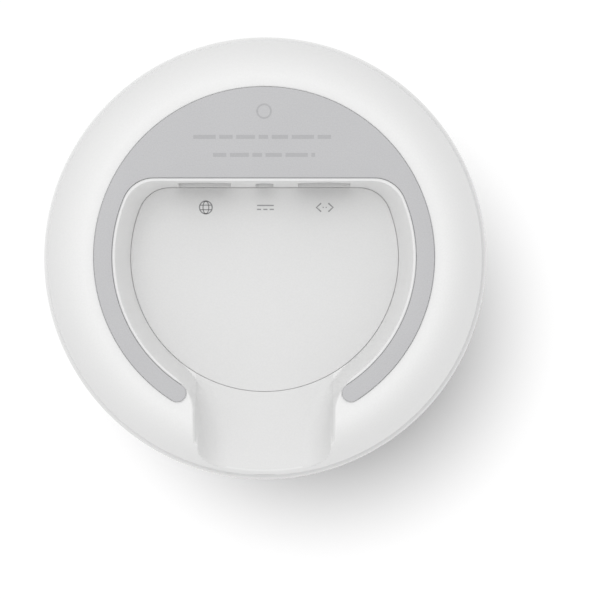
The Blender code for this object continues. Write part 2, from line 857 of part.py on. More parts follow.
def make_button():
    """The reset button, which slides inward and presses its switch."""
    front = shell_radius(button_height) - button_inset
    flange_bottom = button_height - button_radius - 2 * flange_reach
    flange_far = shell_radius(flange_bottom) - shell_wall - 3 * clearance
    flange_near = flange_far - button_flange
    slide = bpy.data.objects.new("reset_button_slide", None)
    slide.location = (0.0, front, button_height)
    bpy.context.collection.objects.link(slide)
    cap = rod_along_y("reset_button_cap", button_radius, flange_far - clearance, front, white_plastic())
    flange_radius = button_radius + flange_reach
    add(cap, rod_along_y("button_flange", flange_radius, flange_near, flange_far, white_plastic()))
    plunger_far = flange_near - clearance
    plunger_near = plunger_far - plunger_length
    plunger = rod_along_y("reset_switch_plunger", plunger_radius, plunger_near, plunger_far,
                          black_plastic(), steps=16)
    for piece in (cap, plunger):
        own_mesh(piece, slide, slide.location)
    switch_front = plunger_near + plunger_length / 2
    half = switch_width / 2
    switch = block("reset_switch_body", (-half, switch_front - switch_depth, part_bottom),
                   (half, switch_front, button_height + switch_height / 2), grey_plastic())
    pocket_near = plunger_near - button_travel - 2 * clearance
    pocket = rod_along_y("switch_pocket", plunger_radius + clearance, pocket_near, switch_front + overrun,
                         grey_plastic(), steps=16)
    cut(switch, pocket)


def build():
    clear_scene()
    make_foot()
    make_lower_shell()
    make_floor_plate()
    make_light_ring()
    make_top_shell()
    make_frame()
    make_main_board()
    make_jack(-1, "left_jack")
    make_jack(1, "right_jack")
    make_power_inlet()
    make_board_parts()
    make_heat_sink()
    make_antennas()
    make_led_board()
    make_screws()
    make_button()
    bpy.context.view_layer.update()


build()
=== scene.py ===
import json
import math

import bmesh
import bpy
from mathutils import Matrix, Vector

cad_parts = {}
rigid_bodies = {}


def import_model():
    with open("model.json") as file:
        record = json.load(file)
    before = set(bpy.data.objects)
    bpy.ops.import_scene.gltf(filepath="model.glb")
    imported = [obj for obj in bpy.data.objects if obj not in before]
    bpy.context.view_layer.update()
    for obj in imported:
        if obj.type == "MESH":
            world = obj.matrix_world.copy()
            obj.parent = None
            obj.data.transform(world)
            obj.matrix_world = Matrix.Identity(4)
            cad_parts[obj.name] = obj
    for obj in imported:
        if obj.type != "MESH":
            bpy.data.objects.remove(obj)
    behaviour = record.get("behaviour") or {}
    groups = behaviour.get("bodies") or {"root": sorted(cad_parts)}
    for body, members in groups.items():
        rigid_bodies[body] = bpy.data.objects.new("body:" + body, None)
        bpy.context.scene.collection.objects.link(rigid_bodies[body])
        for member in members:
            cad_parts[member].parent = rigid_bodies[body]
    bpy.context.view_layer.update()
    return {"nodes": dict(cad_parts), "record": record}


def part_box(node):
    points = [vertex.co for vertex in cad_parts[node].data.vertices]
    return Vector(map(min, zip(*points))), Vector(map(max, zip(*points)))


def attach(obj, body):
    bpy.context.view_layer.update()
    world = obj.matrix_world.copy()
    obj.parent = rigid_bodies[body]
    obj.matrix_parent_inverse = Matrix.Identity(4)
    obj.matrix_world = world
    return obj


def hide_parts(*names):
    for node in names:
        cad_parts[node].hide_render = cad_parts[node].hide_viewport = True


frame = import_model()
print("frame loaded:", len(frame["nodes"]), "nodes")

# sizes that every piece shares, in metres, mostly read from the frame
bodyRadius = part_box("top_shell")[1].x
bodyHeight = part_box("top_shell")[1].z
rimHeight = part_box("top_shell")[0].z
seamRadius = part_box("lower_shell")[1].x
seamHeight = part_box("lower_shell")[1].z
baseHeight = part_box("lower_shell")[0].z
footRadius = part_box("rubber_foot")[1].x
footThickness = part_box("rubber_foot")[1].z
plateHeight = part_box("bay_floor_plate")[0].z
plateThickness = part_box("bay_floor_plate")[1].z - plateHeight
gap = 0.0003  # the clearance between pieces in the CAD
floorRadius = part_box("bay_floor_plate")[1].x + gap  # the bay's outline where its walls meet the plate
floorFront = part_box("bay_floor_plate")[0].y - gap


# a finish says only where it differs from these values
commonLook = {
    "metallic": 0.0, "ior": 1.46, "specular": 0.5, "coat": 0.0, "coatRoughness": 0.2, "roughnessSpread": 0.04,
    "drift": 0.97, "driftScale": 35.0, "speck": 0.985, "speckScale": 2600.0, "markScale": 160.0,
    "grain": 0.12, "grainScale": 5200.0, "grainDepth": 0.00003,
}
# detail and contrast of each pattern
noisePatterns = {"drift": (3.0, 2.2), "speck": (2.0, 3.5), "mark": (5.0, 1.8), "grain": (2.0, 1.5)}
noiseRoughness = 0.6


def noiseField(nodes, links, place, scale, pattern):
    # a noise pattern centred on 0.5, squeezed or stretched about it
    detail, contrast = noisePatterns[pattern]
    noise = nodes.new("ShaderNodeTexNoise")
    noise.inputs["Scale"].default_value = scale
    noise.inputs["Detail"].default_value = detail
    noise.inputs["Roughness"].default_value = noiseRoughness
    links.new(place, noise.inputs["Vector"])
    spread = nodes.new("ShaderNodeMapRange")
    spread.inputs["From Min"].default_value = 0.5 - 0.5 / contrast
    spread.inputs["From Max"].default_value = 0.5 + 0.5 / contrast
    links.new(noise.outputs["Fac"], spread.inputs["Value"])
    return spread.outputs["Result"]


def rangeOf(nodes, links, value, low, high):
    # spreads a pattern between two values
    spread = nodes.new("ShaderNodeMapRange")
    spread.inputs["To Min"].default_value = low
    spread.inputs["To Max"].default_value = high
    links.new(value, spread.inputs["Value"])
    return spread.outputs["Result"]


def makeFinish(name, differences):
    look = {**commonLook, **differences}
    material = bpy.data.materials.new(name)
    material.use_nodes = True
    nodes = material.node_tree.nodes
    links = material.node_tree.links
    shader = nodes["Principled BSDF"]
    place = nodes.new("ShaderNodeTexCoord").outputs["Object"]  # keeps the patterns still on the part
    shader.inputs["Metallic"].default_value = look["metallic"]
    shader.inputs["IOR"].default_value = look["ior"]
    shader.inputs["Specular IOR Level"].default_value = look["specular"]
    shader.inputs["Coat Weight"].default_value = look["coat"]
    shader.inputs["Coat Roughness"].default_value = look["coatRoughness"]
    # colour drifts slowly over the piece, with finer specks on top
    tint = nodes.new("ShaderNodeMix")
    tint.data_type = "RGBA"
    tint.inputs["A"].default_value = (*look["colour"], 1.0)
    tint.inputs["B"].default_value = (*[c * look["drift"] for c in look["colour"]], 1.0)
    links.new(noiseField(nodes, links, place, look["driftScale"], "drift"), tint.inputs["Factor"])
    speckle = nodes.new("ShaderNodeMix")
    speckle.data_type = "RGBA"
    speckle.blend_type = "MULTIPLY"
    speckle.inputs["Factor"].default_value = 1.0
    specks = noiseField(nodes, links, place, look["speckScale"], "speck")
    links.new(tint.outputs["Result"], speckle.inputs["A"])
    links.new(rangeOf(nodes, links, specks, look["speck"], 1.0), speckle.inputs["B"])
    links.new(speckle.outputs["Result"], shader.inputs["Base Color"])
    # roughness follows handling marks, and the mould's grain stands out a little
    marks = noiseField(nodes, links, place, look["markScale"], "mark")
    smoothest = look["roughness"] - look["roughnessSpread"]
    roughest = look["roughness"] + look["roughnessSpread"]
    links.new(rangeOf(nodes, links, marks, smoothest, roughest), shader.inputs["Roughness"])
    bump = nodes.new("ShaderNodeBump")
    bump.inputs["Strength"].default_value = look["grain"]
    bump.inputs["Distance"].default_value = look["grainDepth"]
    links.new(noiseField(nodes, links, place, look["grainScale"], "grain"), bump.inputs["Height"])
    links.new(bump.outputs["Normal"], shader.inputs["Normal"])
    return material


finishLooks = {
    "shellPlastic": {"colour": (0.84, 0.84, 0.838), "roughness": 0.46, "drift": 0.985, "speck": 0.975,
                     "specular": 0.35, "grain": 0.16},
    # the bay's plastic is rougher than the shell's, and its darker colour is painted shade for the recessed
    # bay and notch
    "bayPlasticPaintedShade": {"colour": (0.775, 0.775, 0.773), "roughness": 0.52, "drift": 0.985, "speck": 0.975,
                   "specular": 0.30, "grain": 0.18},
    "footRubber": {"colour": (0.555, 0.555, 0.565), "roughness": 0.80, "drift": 0.97, "speck": 0.93,
                   "speckScale": 3400.0, "specular": 0.25, "grain": 0.35, "roughnessSpread": 0.06},
    "footMark": {"colour": (0.455, 0.455, 0.465), "roughness": 0.70, "drift": 0.97, "speck": 0.95,
                 "grain": 0.2},
    "signInk": {"colour": (0.335, 0.335, 0.34), "roughness": 0.62, "drift": 0.94, "speck": 0.92,
                "grain": 0.1},
    "diffuserPlastic": {"colour": (0.72, 0.735, 0.745), "roughness": 0.30, "drift": 0.98, "speck": 0.98,
                        "specular": 0.5, "grain": 0.08},
    "buttonPlastic": {"colour": (0.78, 0.78, 0.775), "roughness": 0.40, "drift": 0.98, "speck": 0.975,
                      "grain": 0.12},
    "jackPlastic": {"colour": (0.55, 0.55, 0.555), "roughness": 0.5, "drift": 0.92, "speck": 0.9,
                    "grain": 0.2},
    "blackPlastic": {"colour": (0.022, 0.022, 0.024), "roughness": 0.50, "drift": 0.8, "speck": 0.8,
                     "grain": 0.3},
    "greyPlastic": {"colour": (0.17, 0.175, 0.18), "roughness": 0.55, "drift": 0.9, "speck": 0.88,
                    "grain": 0.3},
    "sheetMetal": {"colour": (0.66, 0.66, 0.64), "roughness": 0.30, "metallic": 1.0, "drift": 0.9,
                   "speck": 0.9, "roughnessSpread": 0.09, "grain": 0.15},
    "goldPlate": {"colour": (0.83, 0.62, 0.26), "roughness": 0.26, "metallic": 1.0, "drift": 0.92,
                  "speck": 0.92, "roughnessSpread": 0.08},
    "solderMask": {"colour": (0.018, 0.145, 0.07), "roughness": 0.36, "drift": 0.78, "speck": 0.85,
                   "driftScale": 420.0, "coat": 0.3, "grain": 0.2},
    "castAluminium": {"colour": (0.70, 0.71, 0.72), "roughness": 0.42, "metallic": 1.0, "drift": 0.9,
                      "speck": 0.88, "roughnessSpread": 0.08, "grain": 0.3},
    "darkSteel": {"colour": (0.30, 0.30, 0.31), "roughness": 0.34, "metallic": 1.0, "drift": 0.85,
                  "speck": 0.88, "roughnessSpread": 0.08},
    "padSilicone": {"colour": (0.27, 0.42, 0.55), "roughness": 0.85, "drift": 0.92, "speck": 0.85,
                    "grain": 0.4},
    "ribbonFilm": {"colour": (0.70, 0.64, 0.48), "roughness": 0.42, "drift": 0.94, "speck": 0.95},
    "ledResin": {"colour": (0.88, 0.82, 0.48), "roughness": 0.28, "drift": 0.94, "speck": 0.95},
}
finishes = {name: makeFinish(name, look) for name, look in finishLooks.items()}

# the finish of each slot of the record, for the nodes that stay as they are
slotFinishes = {
    "white_plastic": "shellPlastic", "diffuser_plastic": "diffuserPlastic", "grey_rubber": "footRubber",
    "black_plastic": "blackPlastic", "grey_plastic": "greyPlastic", "sheet_metal": "sheetMetal",
    "gold_plate": "goldPlate", "green_laminate": "solderMask", "aluminium": "castAluminium",
    "steel": "darkSteel", "pad_silicone": "padSilicone", "ribbon_film": "ribbonFilm", "led_resin": "ledResin",
}
for part in frame["record"]["subparts"]:
    node = frame["nodes"][part["node"]]
    node.data.materials.clear()
    node.data.materials.append(finishes[slotFinishes[part["material_slot"]]])
# the jacks are paler than the rest of their slot
for jack in ("left_jack_body", "right_jack_body"):
    frame["nodes"][jack].data.materials[0] = finishes["jackPlastic"]
print("finishes made:", len(finishes))


mergeWithin = 0.000002
degenerateBelow = 0.0000005
barSides = 96
spinSteps = 192
crossingHalvings = 40
smoothAngle = 32.0  # mouldings keep an edge sharp above this many degrees
flatAngle = 40.0  # and flat plates above this
bevelAngle = 50.0
bevelSteps = 3


def deselectAll():
    bpy.ops.object.select_all(action="DESELECT")


def takePrimitive(name, finish):
    # names the primitive that was just added and gives it its finish
    piece = bpy.context.object
    piece.name = name
    piece.data.name = name
    piece.data.materials.clear()
    piece.data.materials.append(finishes[finish])
    return piece


def only(piece):
    deselectAll()
    piece.select_set(True)
    bpy.context.view_layer.objects.active = piece


def settle(piece):
    # puts the piece's place into its mesh
    only(piece)
    bpy.ops.object.transform_apply(location=True, rotation=True, scale=True)


def applyModifiers(piece):
    only(piece)
    for modifier in list(piece.modifiers):
        bpy.ops.object.modifier_apply(modifier=modifier.name)


def shadeByAngle(piece, degrees):
    only(piece)
    bpy.ops.object.shade_smooth_by_angle(angle=math.radians(degrees))


def cutWith(piece, *cutters):
    for cutter in cutters:
        change = piece.modifiers.new("cut", "BOOLEAN")
        change.operation = "DIFFERENCE"
        change.solver = "EXACT"
        change.object = cutter
    applyModifiers(piece)
    for cutter in cutters:
        bpy.data.objects.remove(cutter, do_unlink=True)


def roundEdges(piece, width, segments=bevelSteps):
    change = piece.modifiers.new("rounding", "BEVEL")
    change.width = width
    change.segments = segments
    change.limit_method = "ANGLE"
    change.angle_limit = math.radians(bevelAngle)
    change.miter_outer = "MITER_ARC"
    applyModifiers(piece)


def arcPoints(centre, radius, start, end, steps):
    # points on an arc between two directions, in degrees from +X
    turns = [math.radians(start + (end - start) * step / steps) for step in range(steps + 1)]
    return [(centre[0] + radius * math.cos(turn), centre[1] + radius * math.sin(turn)) for turn in turns]


def slabFromOutline(name, outline, low, high, finish):
    # a flat ring of points is put on the outline, filled and pulled up to a slab
    deselectAll()
    bpy.ops.mesh.primitive_circle_add(vertices=len(outline), radius=1.0, fill_type="NOTHING")
    piece = takePrimitive(name, finish)
    for vertex, (x, y) in zip(piece.data.vertices, outline):
        vertex.co = (x, y, low)
    bpy.ops.object.mode_set(mode="EDIT")
    bpy.ops.mesh.select_all(action="SELECT")
    bpy.ops.mesh.edge_face_add()
    bpy.ops.mesh.extrude_region_move(TRANSFORM_OT_translate={"value": (0.0, 0.0, high - low)})
    bpy.ops.mesh.select_all(action="SELECT")
    bpy.ops.mesh.normals_make_consistent(inside=False)
    bpy.ops.object.mode_set(mode="OBJECT")
    return piece


def spinProfile(name, profile, finish):
    # a line of points is spun about the hub's axis and its seam merged
    deselectAll()
    bpy.ops.mesh.primitive_circle_add(vertices=len(profile), radius=1.0, fill_type="NOTHING")
    piece = takePrimitive(name, finish)
    for vertex, (radius, height) in zip(piece.data.vertices, profile):
        vertex.co = (radius, 0.0, height)
    bpy.ops.object.mode_set(mode="EDIT")
    bpy.ops.mesh.select_all(action="SELECT")
    bpy.ops.mesh.spin(steps=spinSteps, angle=2 * math.pi, center=(0.0, 0.0, 0.0), axis=(0.0, 0.0, 1.0))
    bpy.ops.mesh.select_all(action="SELECT")
    bpy.ops.mesh.remove_doubles(threshold=mergeWithin)
    bpy.ops.mesh.dissolve_degenerate(threshold=degenerateBelow)
    bpy.ops.mesh.delete_loose()
    bpy.ops.mesh.select_all(action="SELECT")
    bpy.ops.mesh.normals_make_consistent(inside=False)
    bpy.ops.object.mode_set(mode="OBJECT")
    return piece


# the lower shell is one grid wrapped round the hub, its points set by where they lie under the shell
lowerShell = {
    # the outside, an oval from the base up to the seam, and the rim there
    "baseInset": 0.01005, "ovalPower": 2.24, "wall": 0.0022, "rimInset": 0.00012, "rimFlat": 0.00040,
    "rimDrop": 0.0004,
    # the bay, the lip round its mouth and the seat of the foot
    "corner": 0.0076, "sideDraft": 0.0031, "frontDraft": 0.00118, "lipWidth": 0.00055, "lipRounding": 0.00016,
    "footWidth": 0.0040, "footEdge": 0.00026, "armReach": 0.0038,
    "seatHeight": 0.0019, "seatLow": -0.004, "seatGap": 0.00010,
    # the inside
    "floorHeight": 0.0040, "roofHeight": 0.0194, "plateSeat": 0.0179, "bayWall": 0.0018,
    # the notch's sides and arch, the distances its forms fade over, and its flare towards the outside
    "notchHalf": 0.0165, "notchArch": 0.0050, "notchFoot": 0.0009, "notchKnee": 0.06,
    "notchCornerPlan": 0.0045, "notchRounding": 0.0005, "outerRounding": 0.0015,
    "notchFade": 0.003, "wallFade": 0.002, "outerFade": 0.002,
    "flareStart": 0.036, "flareLength": 0.011, "flareWide": 0.0015, "flareTall": 0.0080,
    # how far the reset button's bore is cut to either side of the seam's radius
    "boreInside": 0.008, "boreOutside": 0.004,
}
# the faces of the notch painted darker as shade, and rougher: how far they keep from its edges, and from the
# heights around them
notchShadeFaces = {"edge": 0.0002, "low": 0.003, "above": 0.0002, "overShell": 0.0006}
shellRise = seamHeight - baseHeight
bayDepth = plateHeight - baseHeight
baseRadius = seamRadius - lowerShell["baseInset"]
lipRadius = floorRadius + lowerShell["sideDraft"]
lipFront = floorFront - lowerShell["frontDraft"]
seatGap = lowerShell["seatGap"]
seatInner = lipRadius + lowerShell["lipWidth"] + gap - seatGap
seatFront = lipFront - lowerShell["lipWidth"] - gap + seatGap
seatOuter = footRadius + seatGap
footMiddle = footRadius - lowerShell["footWidth"] / 2
footEndReach = lowerShell["notchHalf"] + lowerShell["armReach"]


def clamped(share):
    return min(max(share, 0.0), 1.0)


def smoothed(share):
    # a share between 0 and 1 that starts and ends gently
    share = clamped(share)
    return share * share * (3.0 - 2.0 * share)


def shellRadiusAt(height):
    drop = clamped((seamHeight - height) / shellRise)
    return baseRadius + lowerShell["baseInset"] * math.sqrt(1.0 - drop ** lowerShell["ovalPower"])


def shellHeightAt(radius):
    # the underside of the shell's oval at a distance from the axis
    out = clamped((radius - baseRadius) / lowerShell["baseInset"])
    return seamHeight - shellRise * (1.0 - out * out) ** (1.0 / lowerShell["ovalPower"])


def bayInside(x, y, radius, front, corner):
    # how far a point lies inside the bay's outline: a circle with a straight front and round corners
    cornerY = front + corner
    cornerX = math.sqrt((radius - corner) ** 2 - cornerY ** 2)
    fromX = abs(x) - cornerX
    fromY = y - cornerY
    if fromY < 0.0 and fromX > 0.0 and fromY * cornerX < fromX * cornerY:
        return corner - math.hypot(fromX, fromY)
    if fromY < 0.0 and fromX <= 0.0:
        return y - front
    return radius - math.hypot(x, y)


def crossing(start, end, inside):
    # where a straight line leaves an outline, as a share of its length
    low, high = 0.0, 1.0
    for _ in range(crossingHalvings):
        middle = (low + high) / 2
        x = start[0] + (end[0] - start[0]) * middle
        y = start[1] + (end[1] - start[1]) * middle
        if inside(x, y) > 0.0:
            low = middle
        else:
            high = middle
    return (low + high) / 2


def footEdgeDistance(x, y):
    # distance outside the foot's seat, whose arms end in half circles
    radius = math.hypot(x, y)
    endAngle = math.acos(footEndReach / footMiddle)
    endY = footMiddle * math.sin(endAngle)
    halfWidth = lowerShell["footWidth"] / 2 + seatGap
    if math.atan2(y, abs(x)) > endAngle:
        return math.hypot(abs(x) - footEndReach, y - endY) - halfWidth
    return max(radius - seatOuter, bayInside(x, y, seatInner, seatFront, lowerShell["corner"]))


def easing(distance, size):
    # how far a rounded edge has drawn back at a distance from it
    if distance >= size:
        return 0.0
    back = size - max(distance, 0.0)
    return size - math.sqrt(size * size - back * back)


def archHeight(depth, archWide, archTall):
    # the notch's roof at a depth from its side: a steep foot, then a quarter of an oval, then flat
    foot, knee = lowerShell["notchFoot"], lowerShell["notchKnee"]
    if depth < foot:
        return plateHeight - archTall + archTall * depth / foot * knee
    if depth < foot + archWide:
        across = (foot + archWide - depth) / archWide
        rise = math.sqrt(max(1.0 - across * across, 0.0))
        return plateHeight - archTall + archTall * (knee + (1.0 - knee) * rise)
    return plateHeight


def undersideHeight(x, y, share):
    # share runs from 1 at the bay's plate to 0 at its lip, and on below 0 outside it
    radius = math.hypot(x, y)
    outer = shellHeightAt(radius)
    bayDistance = -share * lowerShell["sideDraft"]
    notchDistance = abs(x) - lowerShell["notchHalf"] if y > 0.0 else 1.0
    corner = lowerShell["notchCornerPlan"]
    if bayDistance < corner and notchDistance < corner:
        distance = corner - math.hypot(corner - bayDistance, corner - notchDistance)
    else:
        distance = min(bayDistance, notchDistance)
    notchShare = smoothed((bayDistance - notchDistance) / lowerShell["notchFade"] + 0.5)
    # the notch's arch grows taller and wider towards the shell's outside
    flare = smoothed((radius - lowerShell["flareStart"]) / lowerShell["flareLength"])
    archWide = lowerShell["notchArch"] + lowerShell["flareWide"] * flare
    archTall = lowerShell["notchArch"] + lowerShell["flareTall"] * flare
    wallShare = clamped((plateHeight - archTall - outer) / lowerShell["wallFade"])
    notchRounding = lowerShell["notchRounding"] * wallShare
    rounding = lowerShell["lipRounding"] + (notchRounding - lowerShell["lipRounding"]) * notchShare
    if distance >= 0.0:
        footEdge = easing(footEdgeDistance(x, y), lowerShell["footEdge"])
        return outer + max(easing(distance, rounding), footEdge)
    depth = -distance
    steepBay = (bayDepth - rounding) / lowerShell["sideDraft"]
    bayHeight = min(outer + rounding + steepBay * depth, plateHeight)
    climb = (plateHeight - archTall - baseHeight) / lowerShell["notchFoot"]
    notchHeight = min(outer + rounding + climb * depth, archHeight(depth, archWide, archTall))
    height = bayHeight + (notchHeight - bayHeight) * notchShare
    # the notch's outer edge is rounded where its roof runs out through the shell
    blend = lowerShell["outerRounding"] * min(depth / lowerShell["outerFade"], 1.0) * notchShare
    return (height + outer + math.sqrt((height - outer) ** 2 + blend * blend)) / 2


# how the grid's columns and rows are spread: pairs are a limit and the step used below it
shellGrid = {
    "reach": 0.018, "across": ((0.0105, 0.0010), (0.0150, 0.0004), (1.0, 0.0002)), "acrossMargin": 0.0001,
    "turns": ((47.0, 0.5), (104.0, 2.0), (132.0, 1.0), (180.0, 2.0)), "lastTurn": 179.0, "lagFade": 28.0,
    "bayShares": (0.985, 0.96, 0.92, 0.86, 0.78, 0.68, 0.56, 0.44, 0.32, 0.22, 0.14, 0.08, 0.035, 0.0),
    "lipShares": (0.15, 0.3, 0.5, 0.7, 0.85, 1.0), "middleShare": 0.5, "plateEdge": 0.00012,
    "seatRows": 18, "seatEdgeStep": 0.00014, "seatEdgeRows": 3, "seatOutside": (0.0008, 0.0013),
    "baseStep": 0.0004, "baseRows": 12, "curveStart": 0.0047, "curveStep": 0.00026, "curveRows": 17,
    "sideHeights": (0.0185, 0.0205, 0.0230, 0.0260, 0.0290, 0.0318),
    "insideHeights": (0.028, 0.022, 0.016, 0.011, 0.0075, 0.0055), "insideCorner": 0.0025,
    "bayWallCorner": 0.002, "roofShare": 0.96, "merge": 0.000001,
}
# columns up to the reach run straight back beside the notch, the others fan round from there
columnStart = math.degrees(math.asin(shellGrid["reach"] / floorRadius))
columnEnd = math.degrees(math.asin(shellGrid["reach"] / seamRadius))


def stepAt(steps, value):
    return next(step for limit, step in steps if value < limit)


def columnAngles():
    # directions from +Y of the grid's columns on one side, in degrees, closest where the detail is
    angles = []
    angle = columnStart
    while angle < shellGrid["lastTurn"]:
        angles.append(angle)
        angle += stepAt(shellGrid["turns"], angle)
    return angles


def columnLines():
    # each column is a straight line from the bay's plate out to the seam
    lines = []
    x = 0.0
    while x < shellGrid["reach"] - shellGrid["acrossMargin"]:
        near = (x, math.sqrt(floorRadius ** 2 - x * x))
        lines.append((near, (x, math.sqrt(seamRadius ** 2 - x * x))))
        x += stepAt(shellGrid["across"], x)
    lag = columnStart - columnEnd
    fade = shellGrid["lagFade"]
    final = math.exp(-(180.0 - columnStart) / fade)
    for angle in columnAngles():
        # near the notch a column's outer end lags behind its inner one, so that the fan opens evenly
        behind = lag * (math.exp(-(angle - columnStart) / fade) - final) / (1.0 - final)
        turn = math.radians(angle)
        beyond = (floorRadius * 2 * math.sin(turn), floorRadius * 2 * math.cos(turn))
        inside = lambda px, py: bayInside(px, py, floorRadius, floorFront, lowerShell["corner"])
        share = crossing((0.0, 0.0), beyond, inside)
        out = math.radians(angle - behind)
        far = (seamRadius * math.sin(out), seamRadius * math.cos(out))
        lines.append(((beyond[0] * share, beyond[1] * share), far))
    straight = ((0.0, floorFront), (0.0, -seamRadius))
    left = [((-near[0], near[1]), (-far[0], far[1])) for near, far in reversed(lines[1:])]
    return lines + [straight] + left


def columnPoints(near, far):
    # the points of one column, from under the plate out to the seam and back inside
    corner, wall, lipWidth = lowerShell["corner"], lowerShell["wall"], lowerShell["lipWidth"]
    sideDraft, bayWall = lowerShell["sideDraft"], lowerShell["bayWall"]
    at = lambda share: (near[0] + (far[0] - near[0]) * share, near[1] + (far[1] - near[1]) * share)
    lip = crossing(near, far, lambda x, y: bayInside(x, y, lipRadius, lipFront, corner))
    seat = crossing(near, far, lambda x, y: bayInside(x, y, seatInner, seatFront, corner))
    circle = lambda radius: crossing(near, far, lambda x, y: radius - math.hypot(x, y))
    middle = (near[0] * shellGrid["middleShare"], near[1] * shellGrid["middleShare"])
    points = [(*middle, lowerShell["plateSeat"]), (*near, lowerShell["plateSeat"])]
    points.append((*near, plateHeight + shellGrid["plateEdge"]))
    for share in shellGrid["bayShares"]:
        x, y = at(lip * (1.0 - share))
        points.append((x, y, undersideHeight(x, y, share)))
    for share in shellGrid["lipShares"]:
        x, y = at(lip + (seat - lip) * share)
        points.append((x, y, undersideHeight(x, y, -share * lipWidth / sideDraft)))
    seatRows = shellGrid["seatRows"]
    marks = [seat + (circle(seatOuter) - seat) * row / seatRows for row in range(1, seatRows + 1)]
    radii = [seatOuter + row * shellGrid["seatEdgeStep"] for row in range(1, shellGrid["seatEdgeRows"] + 1)]
    radii += [seatOuter + out for out in shellGrid["seatOutside"]]
    radii += [baseRadius + row * shellGrid["baseStep"] for row in range(shellGrid["baseRows"])]
    curveStart = baseRadius + shellGrid["curveStart"]
    radii += [curveStart + row * shellGrid["curveStep"] for row in range(shellGrid["curveRows"])]
    radii += [shellRadiusAt(height) for height in shellGrid["sideHeights"]]
    for share in marks + [circle(radius) for radius in radii]:
        x, y = at(share)
        outside = max(0.0, -bayInside(x, y, lipRadius, lipFront, corner))
        points.append((x, y, undersideHeight(x, y, -outside / sideDraft)))
    points.append((*at(circle(seamRadius - lowerShell["rimInset"])), seamHeight - lowerShell["rimDrop"]))
    points.append((*at(circle(seamRadius - lowerShell["rimFlat"])), seamHeight))
    points.append((*at(circle(seamRadius - wall)), seamHeight))
    for height in shellGrid["insideHeights"]:
        points.append(insidePoint(*at(circle(shellRadiusAt(height) - wall)), height))
    innermost = shellRadiusAt(shellGrid["insideHeights"][-1]) - wall - shellGrid["insideCorner"]
    points.append(insidePoint(*at(circle(innermost)), lowerShell["floorHeight"]))
    behindCorner = corner + shellGrid["bayWallCorner"]
    inner, front = seatInner + bayWall, seatFront - bayWall
    back = crossing(near, far, lambda x, y: bayInside(x, y, inner, front, behindCorner))
    points.append(insidePoint(*at(back), lowerShell["floorHeight"]))
    points.append((*at(back * shellGrid["roofShare"]), lowerShell["roofHeight"]))
    points.append((*middle, lowerShell["roofHeight"]))
    return points


def insidePoint(x, y, height):
    # the shell's inside rises over the notch
    over = y > 0.0 and abs(x) < lowerShell["notchHalf"] + lowerShell["bayWall"]
    return (x, y, max(height, lowerShell["roofHeight"]) if over else height)


outlineSteps = {"rim": 170, "end": 20, "inner": 44, "footCorner": 16, "bay": 150, "bayCorner": 20}


def footOutline(grow):
    # the foot from below: a broad front and two arms with half-round ends
    end = math.degrees(math.acos(footEndReach / footMiddle))
    endRadius = lowerShell["footWidth"] / 2 + grow
    inner = footMiddle - endRadius
    corner = lowerShell["corner"]
    cornerY = seatFront - seatGap + grow + corner
    cornerX = math.sqrt((inner - corner) ** 2 - cornerY ** 2)
    meet = math.degrees(math.atan2(cornerY, cornerX))
    rightEnd = (footMiddle * math.cos(math.radians(end)), footMiddle * math.sin(math.radians(end)))
    leftEnd = (-rightEnd[0], rightEnd[1])
    hub = (0.0, 0.0)
    steps = outlineSteps
    points = arcPoints(hub, footMiddle + endRadius, 180.0 - end, 360.0 + end, steps["rim"])
    points += arcPoints(rightEnd, endRadius, end, end + 180.0, steps["end"])[1:]
    points += arcPoints(hub, inner, end, meet, steps["inner"])[1:]
    points += arcPoints((cornerX, cornerY), corner, meet, -90.0, steps["footCorner"])[1:]
    points += arcPoints((-cornerX, cornerY), corner, 270.0, 180.0 - meet, steps["footCorner"])
    points += arcPoints(hub, inner, 180.0 - meet, 180.0 - end, steps["inner"])[1:]
    points += arcPoints(leftEnd, endRadius, -end, 180.0 - end, steps["end"])[1:-1]
    return points


# the openings in the bay's straight wall: a window and scoop for each network jack, and the power inlet's
ports = {
    "offset": 0.01406, "windowHalf": 0.00615, "windowLow": 0.0073, "windowHigh": 0.0165,
    "scoopHalf": 0.0064, "scoopDrop": 0.0027, "scoopLift": 0.0001, "scoopSides": 64,
    "inletHalf": 0.0021, "inletLow": 0.0066, "inletHigh": 0.0166, "inletRounding": 0.96, "inletSteps": 10,
    "wallBack": -0.0208, "wallFront": -0.0160,
}


def boxCutter(name, low, high):
    deselectAll()
    middle = [(a + b) / 2 for a, b in zip(low, high)]
    bpy.ops.mesh.primitive_cube_add(size=1.0, location=middle, scale=[b - a for a, b in zip(low, high)])
    cutter = takePrimitive(name, "bayPlasticPaintedShade")
    settle(cutter)
    return cutter


def barAlongY(name, radius, near, far, height, finish):
    deselectAll()
    bpy.ops.mesh.primitive_cylinder_add(vertices=barSides, radius=radius, depth=far - near,
                                        location=(0.0, (near + far) / 2, height),
                                        rotation=(math.pi / 2, 0.0, 0.0))
    bar = takePrimitive(name, finish)
    settle(bar)
    return bar


